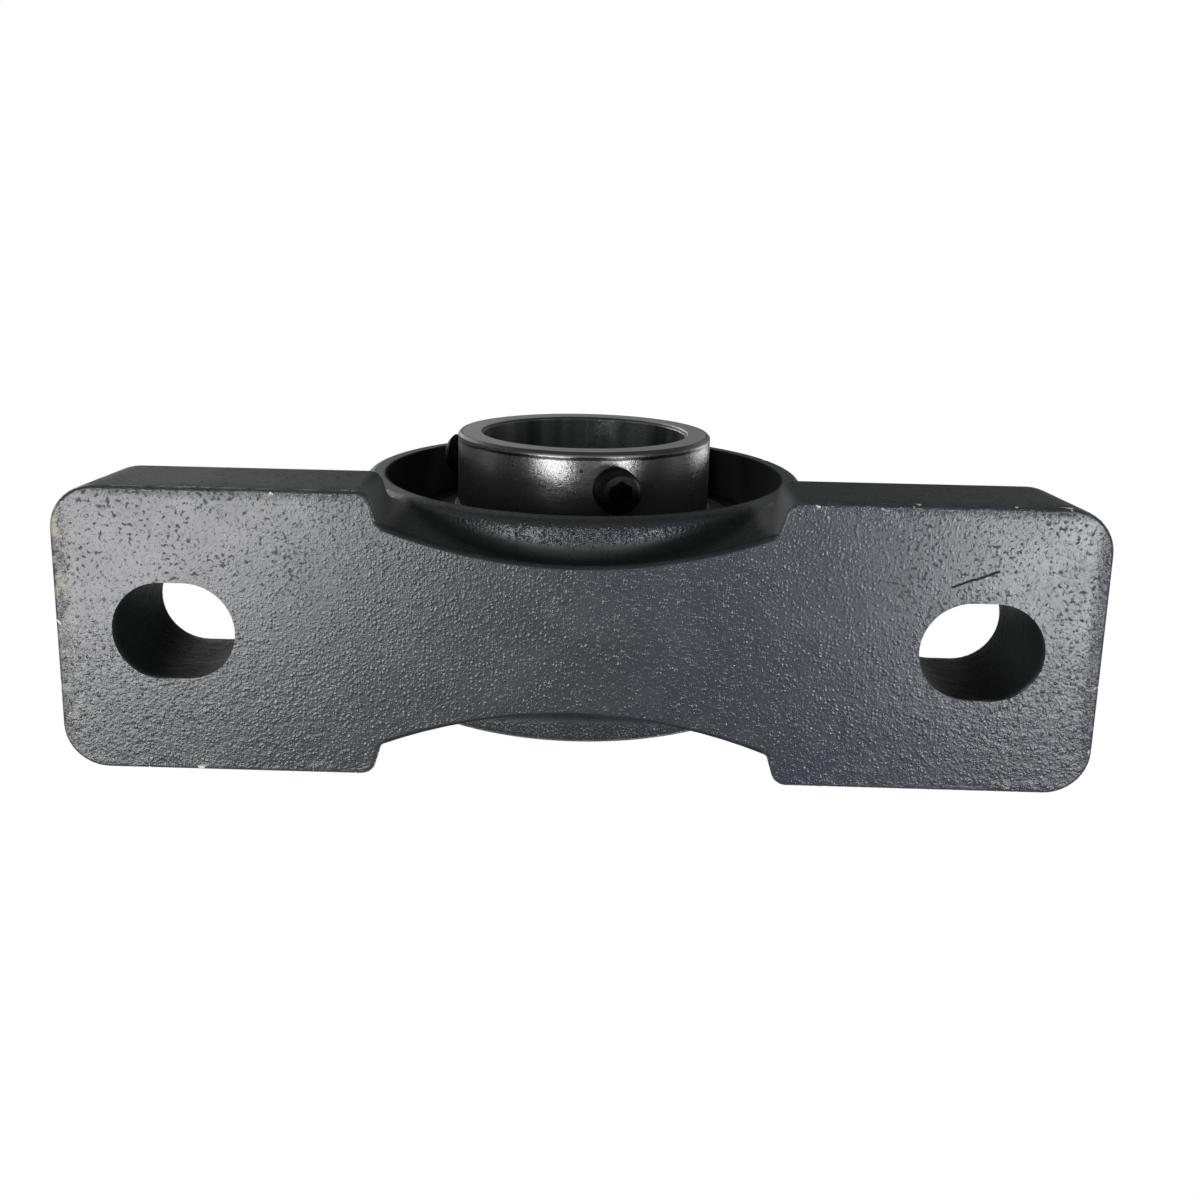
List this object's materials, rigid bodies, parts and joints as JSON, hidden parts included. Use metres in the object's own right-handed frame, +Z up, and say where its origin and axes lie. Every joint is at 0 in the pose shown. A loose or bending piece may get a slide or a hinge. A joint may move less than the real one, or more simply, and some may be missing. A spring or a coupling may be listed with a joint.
{
  "type": "pillow block bearing",
  "caption": "Pillow block bearing: a cast base with slotted feet and a round housing that holds a self-aligning ball bearing insert, locked to its shaft by set screws.",
  "frame": {"origin": "centre of the base's underside, straight below the middle of the spherical seat", "axes": "+Z up from the mounting surface, X along the base through both bolt slots, Y along the shaft; -Y is the side where the long end of the inner ring and the set screws are"},
  "size_m": [0.206, 0.0624, 0.1226],
  "materials": {
    "cast_housing": "rough sand casting under a coat of dark grey paint",
    "ground_steel": "ground bearing steel with a thin film of oil",
    "ball_steel": "polished bearing steel",
    "cage_steel": "pressed sheet steel",
    "pressed_steel": "pressed sheet steel, dull zinc plated",
    "seal_rubber": "moulded nitrile rubber",
    "black_steel": "black oxide",
    "plated_steel": "bright zinc plate",
    "spring_steel": "drawn wire"
  },
  "bodies": {
    "housing": {"housing": "cast_housing", "grease_nipple": "plated_steel", "nipple_spring": "spring_steel"},
    "insert": {"outer_ring": "ground_steel", "seal_front": "seal_rubber", "seal_rear": "seal_rubber", "seal_core_front": "pressed_steel", "seal_core_rear": "pressed_steel"},
    "inner": {"inner_ring": "ground_steel", "flinger_front": "pressed_steel", "flinger_rear": "pressed_steel"},
    "cage": {"cage_front": "cage_steel", "cage_rear": "cage_steel", "cage_rivets": "cage_steel"},
    "set_screw_1": {"set_screw_1": "black_steel"},
    "set_screw_2": {"set_screw_2": "black_steel"},
    "check_ball": {"nipple_check_ball": "ball_steel"},
    "ball_01": {"ball_01": "ball_steel"},
    "ball_02": {"ball_02": "ball_steel"},
    "ball_03": {"ball_03": "ball_steel"},
    "ball_04": {"ball_04": "ball_steel"},
    "ball_05": {"ball_05": "ball_steel"},
    "ball_06": {"ball_06": "ball_steel"},
    "ball_07": {"ball_07": "ball_steel"},
    "ball_08": {"ball_08": "ball_steel"},
    "ball_09": {"ball_09": "ball_steel"},
    "ball_10": {"ball_10": "ball_steel"}
  },
  "joints": [
    {"name": "self_alignment", "type": "hinge", "parent": "housing", "child": "insert", "pos_m": [0, 0, 0.0572], "axis": [1, 0, 0], "range_deg": [-2, 2]},
    {"name": "shaft_spin", "type": "hinge", "parent": "insert", "child": "inner", "pos_m": [0, 0, 0.0572], "axis": [0, 1, 0], "continuous": true},
    {"name": "cage_orbit", "type": "hinge", "parent": "insert", "child": "cage", "pos_m": [0, 0, 0.0572], "axis": [0, 1, 0], "continuous": true},
    {"name": "ball_01_roll", "type": "hinge", "parent": "cage", "child": "ball_01", "pos_m": [0, 0, 0.0222], "axis": [0, 1, 0], "continuous": true},
    {"name": "ball_02_roll", "type": "hinge", "parent": "cage", "child": "ball_02", "pos_m": [0.02057, 0, 0.02888], "axis": [0, 1, 0], "continuous": true},
    {"name": "ball_03_roll", "type": "hinge", "parent": "cage", "child": "ball_03", "pos_m": [0.03329, 0, 0.04638], "axis": [0, 1, 0], "continuous": true},
    {"name": "ball_04_roll", "type": "hinge", "parent": "cage", "child": "ball_04", "pos_m": [0.03329, 0, 0.06802], "axis": [0, 1, 0], "continuous": true},
    {"name": "ball_05_roll", "type": "hinge", "parent": "cage", "child": "ball_05", "pos_m": [0.02057, 0, 0.08552], "axis": [0, 1, 0], "continuous": true},
    {"name": "ball_06_roll", "type": "hinge", "parent": "cage", "child": "ball_06", "pos_m": [0, 0, 0.0922], "axis": [0, 1, 0], "continuous": true},
    {"name": "ball_07_roll", "type": "hinge", "parent": "cage", "child": "ball_07", "pos_m": [-0.02057, 0, 0.08552], "axis": [0, 1, 0], "continuous": true},
    {"name": "ball_08_roll", "type": "hinge", "parent": "cage", "child": "ball_08", "pos_m": [-0.03329, 0, 0.06802], "axis": [0, 1, 0], "continuous": true},
    {"name": "ball_09_roll", "type": "hinge", "parent": "cage", "child": "ball_09", "pos_m": [-0.03329, 0, 0.04638], "axis": [0, 1, 0], "continuous": true},
    {"name": "ball_10_roll", "type": "hinge", "parent": "cage", "child": "ball_10", "pos_m": [-0.02057, 0, 0.02888], "axis": [0, 1, 0], "continuous": true},
    {"name": "set_screw_1_travel", "type": "slide", "parent": "inner", "child": "set_screw_1", "axis": [-0.2419, 0, 0.9703], "range_m": [-0.003, 0.0012]},
    {"name": "set_screw_2_travel", "type": "slide", "parent": "inner", "child": "set_screw_2", "axis": [0.9613, 0, -0.2756], "range_m": [-0.003, 0.0012]},
    {"name": "check_ball_press", "type": "slide", "parent": "housing", "child": "check_ball", "axis": [0, 0, -1], "range_m": [0, 0.0006], "stiffness_N_per_m": 200, "springref_m": -0.0005, "deforming": ["nipple_spring"]}
  ],
  "couplings": [
    {"joint": "cage_orbit", "follows": "shaft_spin", "ratio": 0.40929},
    {"joint": "ball_01_roll", "follows": "shaft_spin", "ratio": -2.6652},
    {"joint": "ball_02_roll", "follows": "shaft_spin", "ratio": -2.6652},
    {"joint": "ball_03_roll", "follows": "shaft_spin", "ratio": -2.6652},
    {"joint": "ball_04_roll", "follows": "shaft_spin", "ratio": -2.6652},
    {"joint": "ball_05_roll", "follows": "shaft_spin", "ratio": -2.6652},
    {"joint": "ball_06_roll", "follows": "shaft_spin", "ratio": -2.6652},
    {"joint": "ball_07_roll", "follows": "shaft_spin", "ratio": -2.6652},
    {"joint": "ball_08_roll", "follows": "shaft_spin", "ratio": -2.6652},
    {"joint": "ball_09_roll", "follows": "shaft_spin", "ratio": -2.6652},
    {"joint": "ball_10_roll", "follows": "shaft_spin", "ratio": -2.6652}
  ]
}
